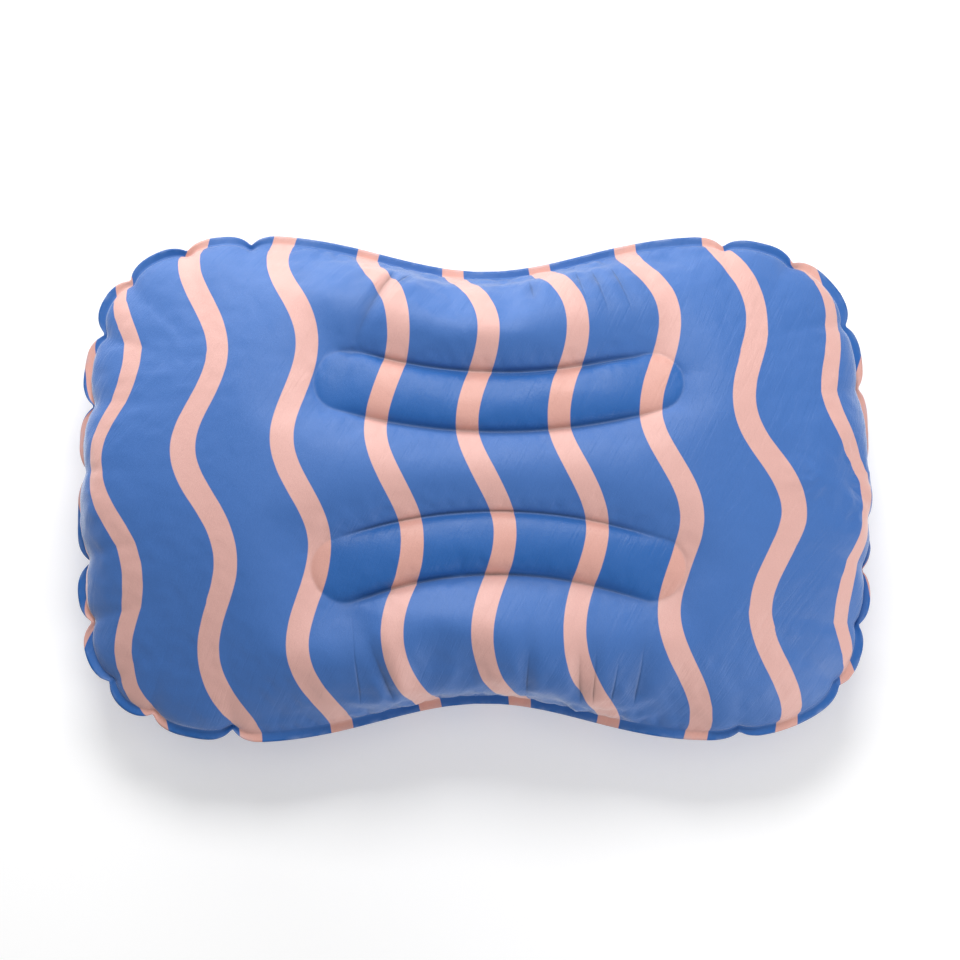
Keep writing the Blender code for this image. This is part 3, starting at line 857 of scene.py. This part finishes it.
def stripe_mask(nodes, x, y):
    """0 in a stripe and 1 between stripes."""
    spread = nodes.math("MULTIPLY_ADD", nodes.math("MULTIPLY", y, y), -STRIPE_SPREAD, 1.0)
    x = nodes.math("MULTIPLY", x, spread)
    beyond = nodes.math("SUBTRACT", nodes.math("ABSOLUTE", x), STRIPE_END_START)
    beyond = nodes.math("MAXIMUM", beyond, 0.0)
    squeeze = nodes.math("MULTIPLY", nodes.math("MULTIPLY", beyond, beyond), STRIPE_END_SQUEEZE)
    x = nodes.math("MULTIPLY_ADD", nodes.math("SIGN", x), squeeze, x)
    across, along = turned(nodes, x, y, STRIPE_TURN)
    per_metre = 2 * math.pi / STRIPE_WAVE_LENGTH
    turn = nodes.math("MULTIPLY_ADD", along, per_metre, STRIPE_PHASE)
    wave = nodes.math("MULTIPLY", nodes.math("SINE", turn), STRIPE_WAVE_HEIGHT)
    slope = nodes.math("MULTIPLY", nodes.math("COSINE", turn), STRIPE_WAVE_HEIGHT * per_metre)
    offset = nodes.math("SUBTRACT", nodes.math("SUBTRACT", across, wave), STRIPE_SHIFT)
    level = nodes.math("PINGPONG", offset, STRIPE_PITCH / 2)
    lean = nodes.math("SQRT", nodes.math("MULTIPLY_ADD", slope, slope, 1.0))
    distance = nodes.math("DIVIDE", level, lean)
    return nodes.remap(distance, STRIPE_HALF_WIDTH - 0.2 * MM, STRIPE_HALF_WIDTH + 0.2 * MM, 0.0, 1.0)


def fold_lines(nodes, x, y, facing):
    """Near 1 along the floor of each main wrinkle and 0 away from it.

    The mesh is too coarse for a wrinkle's sharp floor, so its line is drawn here: as painted shade in
    the colour, and as a bump.
    """
    away = nodes.math("SUBTRACT", nodes.mark("from_weld"), WRINKLE_START)
    lines = 0.0
    for at, side, slant, depth_mm, _, reach_mm in WRINKLES:
        if depth_mm < LINE_DEPTH:
            continue
        across = nodes.math("MULTIPLY_ADD", away, -slant, nodes.math("SUBTRACT", x, facing * at))
        line = nodes.remap(nodes.math("ABSOLUTE", across), 0.0, LINE_HALF_WIDTH * depth_mm, 1.0, 0.0)
        level = nodes.remap(away, 0.0, reach_mm * MM, math.sqrt(depth_mm), 0.0)
        here = nodes.math("GREATER_THAN", nodes.math("MULTIPLY", y, side), 0.0)
        level = nodes.math("MULTIPLY", level, here)
        line = nodes.math("MULTIPLY", nodes.math("MULTIPLY", line, line), level)
        lines = nodes.math("MAXIMUM", lines, line)
    near = nodes.remap(away, WRINKLE_FADE - WRINKLE_START, 0.0, 0.0, 1.0)
    return nodes.math("MULTIPLY", lines, near)


def printed_fabric(name, facing):
    """Printed polyester with a film behind it: fine weave, soft sheen, film-fused where it is welded."""
    nodes = Nodes(name)
    uv = nodes.add("UVMap", uv_map="flat").outputs[0]
    parts = nodes.add("SeparateXYZ", {"Vector": uv})
    x, y = parts.outputs[0], parts.outputs[1]
    ground = nodes.mix(nodes.noise(uv, 9.0, 3.0), (0.038, 0.138, 0.430, 1), (0.048, 0.160, 0.475, 1))
    stripe = nodes.mix(nodes.noise(uv, 14.0, 3.0), (0.70, 0.39, 0.345, 1), (0.76, 0.44, 0.395, 1))
    mask = stripe_mask(nodes, x, y)
    colour = nodes.mix(mask, stripe, ground)
    fused_colour = nodes.mix(mask, (0.70, 0.36, 0.30, 1), (0.009, 0.112, 0.400, 1))
    fused = nodes.mark("fused")
    colour = nodes.mix(nodes.math("MULTIPLY", fused, 0.9), colour, fused_colour)
    # thread-scale flecks, painted shade in the crescents' creases and in the wrinkles' valleys, and a
    # paler worn rim
    fleck = nodes.stretched_noise(uv, (1400.0, 2300.0, 1.0), 2.0)
    shade = nodes.remap(fleck, 0.3, 0.7, 0.955, 1.045)
    # painted shade along the crescents' creases
    crease_shade = nodes.math("MULTIPLY", nodes.mark("crease_shade"), 0.42)
    shade = nodes.math("MULTIPLY", shade, nodes.math("SUBTRACT", 1.0, crease_shade))
    # painted shade along the wrinkles' valleys
    shade = nodes.math("MULTIPLY", shade, nodes.math("MULTIPLY_ADD", nodes.mark("fold"), -0.16, 1.0))
    line = fold_lines(nodes, x, y, facing)
    # painted shade along the floors of the main wrinkles
    shade = nodes.math("MULTIPLY", shade, nodes.math("MULTIPLY_ADD", line, -0.28, 1.0))
    colour = nodes.add("VectorMath", {0: colour, "Scale": shade}, operation="SCALE").outputs[0]
    patchy = nodes.remap(nodes.noise(uv, 120.0, 4.0), 0.45, 0.7, 0.0, 0.35)
    worn = nodes.math("MULTIPLY", nodes.mark("rim"), patchy)
    colour = nodes.mix(worn, colour, (0.45, 0.52, 0.70, 1))
    nodes.put(nodes.shader.inputs["Base Color"], colour)
    rough = nodes.remap(nodes.noise(uv, 35.0, 3.0), 0.3, 0.7, 0.44, 0.54)
    rough = nodes.math("SUBTRACT", rough, nodes.math("MULTIPLY", fused, 0.07))
    nodes.put(nodes.shader.inputs["Roughness"], rough)
    nodes.shader.inputs["Sheen Weight"].default_value = 0.65
    nodes.shader.inputs["Sheen Roughness"].default_value = 0.4
    nodes.shader.inputs["Sheen Tint"].default_value = (0.95, 0.97, 1.0, 1)
    nodes.shader.inputs["Specular IOR Level"].default_value = 0.45
    # plain weave, two crossing sets of threads
    per_metre = 2 * math.pi / (0.45 * MM)
    warp = nodes.math("SINE", nodes.math("MULTIPLY", x, per_metre))
    weft = nodes.math("SINE", nodes.math("MULTIPLY", y, per_metre))
    weave = nodes.math("MULTIPLY", warp, weft)
    soft = nodes.noise(uv, 55.0, 4.0, 0.55)
    grain = nodes.noise(uv, 620.0, 3.0, 0.6)
    across, along = turned(nodes, x, y, CREASE_LEAN)
    leaning = nodes.add("CombineXYZ", {"X": across, "Y": along}).outputs[0]
    streak = nodes.stretched_noise(leaning, (210.0, 16.0, 1.0), 3.0, 0.6)
    streak = nodes.remap(streak, 0.42, 0.50, 0.0, 1.0)
    normal = nodes.bump(soft, 0.34, 0.8 * MM)
    normal = nodes.bump(streak, 0.34, 0.2 * MM, normal)
    normal = nodes.bump(grain, 0.5, 0.16 * MM, normal)
    normal = nodes.bump(weave, 0.40, 0.04 * MM, normal)
    normal = nodes.bump(nodes.math("MULTIPLY", line, -1.0), 0.6, 0.9 * MM, normal)
    nodes.put(nodes.shader.inputs["Normal"], normal)
    return nodes.material


def film(name, colour, roughness):
    """Milky welding film, faintly mottled."""
    nodes = Nodes(name)
    position = nodes.add("TexCoord").outputs["Object"]
    tone = nodes.noise(position, 60.0, 3.0)
    deep = tuple(0.88 * value for value in colour) + (1,)
    nodes.put(nodes.shader.inputs["Base Color"], nodes.mix(tone, deep, tuple(colour) + (1,)))
    rough = nodes.remap(tone, 0.3, 0.7, roughness - 0.05, roughness + 0.08)
    nodes.put(nodes.shader.inputs["Roughness"], rough)
    pebble = nodes.noise(position, 900.0, 2.0)
    nodes.put(nodes.shader.inputs["Normal"], nodes.bump(pebble, 0.2, 0.1 * MM))
    return nodes.material


def moulded(name, colour, roughness, scale):
    """Injection-moulded plastic: fine spark-eroded texture, faint flow tone and paler worn edges."""
    nodes = Nodes(name)
    position = nodes.add("TexCoord").outputs["Object"]
    flow = nodes.noise(position, 45.0, 3.0)
    deep = tuple(0.86 * value for value in colour) + (1,)
    tone = nodes.mix(flow, deep, tuple(colour) + (1,))
    edge = nodes.add("NewGeometry").outputs["Pointiness"]
    edge = nodes.remap(edge, 0.52, 0.62, 0.0, 0.35)
    worn = nodes.math("MULTIPLY", edge, nodes.noise(position, 300.0, 2.0))
    pale = tuple(min(1.0, 0.35 + 0.8 * value) for value in colour) + (1,)
    nodes.put(nodes.shader.inputs["Base Color"], nodes.mix(worn, tone, pale))
    rough = nodes.remap(flow, 0.3, 0.7, roughness - 0.05, roughness + 0.07)
    nodes.put(nodes.shader.inputs["Roughness"], rough)
    eroded = nodes.noise(position, scale, 3.0)
    nodes.put(nodes.shader.inputs["Normal"], nodes.bump(eroded, 0.25, 0.05 * MM))
    return nodes.material


# ------------------------------------------------------------------ stage

def add_light(name, place, size, power):
    light = bpy.data.lights.new(name, "AREA")
    light.shape = "RECTANGLE"
    light.size, light.size_y = size
    light.energy = power
    lamp = bpy.data.objects.new(name, light)
    bpy.context.scene.collection.objects.link(lamp)
    lamp.location = place
    lamp.rotation_mode = "QUATERNION"
    lamp.rotation_quaternion = (-Vector(place)).to_track_quat("-Z", "Y")


def add_stage():
    half = 4.0
    corners = np.array([(-half, -half, 0.0), (half, -half, 0.0), (half, half, 0.0), (-half, half, 0.0)])
    floor = mesh_object("floor", corners, np.array([(0, 1, 2, 3)]))
    nodes = Nodes("floor_paper")
    position = nodes.add("TexCoord").outputs["Object"]
    tone = nodes.mix(nodes.noise(position, 3.0, 2.0), (0.90, 0.90, 0.90, 1), (0.93, 0.93, 0.93, 1))
    nodes.put(nodes.shader.inputs["Base Color"], tone)
    nodes.shader.inputs["Roughness"].default_value = 0.9
    nodes.shader.inputs["Emission Color"].default_value = (1, 1, 1, 1)
    nodes.shader.inputs["Emission Strength"].default_value = 0.17
    nodes.shader.inputs["Specular IOR Level"].default_value = 0.1
    floor.data.materials.append(nodes.material)
    add_light("key_light", (-0.02, 0.88, 0.98), (0.7, 0.45), 11.6)
    add_light("back_light", (-0.48, 1.10, 0.30), (1.0, 0.25), 8.0)
    add_light("front_light", (1.05, -0.85, 0.48), (0.6, 0.35), 8.5)
    add_light("top_light", (0.1, 0.1, 1.9), (1.2, 1.2), 5.0)
    world = bpy.data.worlds.new("studio")
    world.use_nodes = True
    background = world.node_tree.nodes["Background"]
    background.inputs["Color"].default_value = (1, 1, 1, 1)
    background.inputs["Strength"].default_value = 0.28
    bpy.context.scene.world = world
    bpy.context.scene.view_settings.view_transform = "Standard"


def add_camera():
    elevation = math.radians(82)
    distance = 1.15
    span = 0.560
    aim = Vector((0.0035, 0.0026, 0.043))
    back = Vector((0.0, -math.cos(elevation), math.sin(elevation)))
    data = bpy.data.cameras.new("camera")
    data.sensor_width = 36.0
    data.lens = 36.0 * distance / span
    data.clip_start = 0.01
    camera = bpy.data.objects.new("camera", data)
    bpy.context.scene.collection.objects.link(camera)
    camera.location = aim + back * distance
    camera.rotation_mode = "QUATERNION"
    camera.rotation_quaternion = (-back).to_track_quat("-Z", "Y")
    bpy.context.scene.camera = camera


# ------------------------------------------------------------------ making

def main():
    flat, triangles, rings, top, bottom, marks, low_fold_shade = build_panels()
    fabric = printed_fabric("printed_fabric_look", 1.0)
    under_fabric = printed_fabric("printed_fabric_under_look", -1.0)
    lining = film("film_lining", (0.55, 0.62, 0.78), 0.35)
    tie_material = film("tie_film_look", (0.78, 0.80, 0.82), 0.3)
    add_panel("top_panel_fabric", "top_panel", top, triangles, flat, marks, (fabric, lining))
    hole = is_inside(flat[triangles].mean(axis=1), flat[rings[4]])
    around_valve = np.linalg.norm(flat - np.array([VALVE_FLAT_X, 0.0]), axis=1)
    valve_weld = 1 - smoothstep(VALVE_WELD_RADIUS - 0.5 * MM, VALVE_WELD_RADIUS + 0.5 * MM, around_valve)
    low_marks = dict(marks)
    # painted shade along the bottom panel's wrinkle valleys
    low_marks["fold"] = low_fold_shade
    low_marks["fused"] = np.maximum(marks["fused"], valve_weld)
    add_panel("bottom_panel_fabric", "bottom_panel", bottom, triangles[~hole][:, ::-1], flat, low_marks,
              (under_fabric, lining))
    centres = flat[triangles].mean(axis=1)
    for name, ring in (("rear_tie", rings[2]), ("front_tie", rings[3])):
        add_tie(name, ring, is_inside(centres, flat[ring]), flat, triangles, top, bottom, tie_material)

    plastic = moulded("valve_plastic_look", (0.045, 0.115, 0.36), 0.42, 2600.0)
    silicone = moulded("flap_silicone_look", (0.80, 0.83, 0.84), 0.30, 1200.0)
    looks = {"valve_base": plastic, "deflation_plug": plastic, "inflation_cap": plastic,
             "check_flap": silicone}
    for name, material in looks.items():
        for slot in frame["nodes"][name].material_slots:
            slot.material = material

    add_stage()
    add_camera()
    bpy.context.view_layer.update()


main()
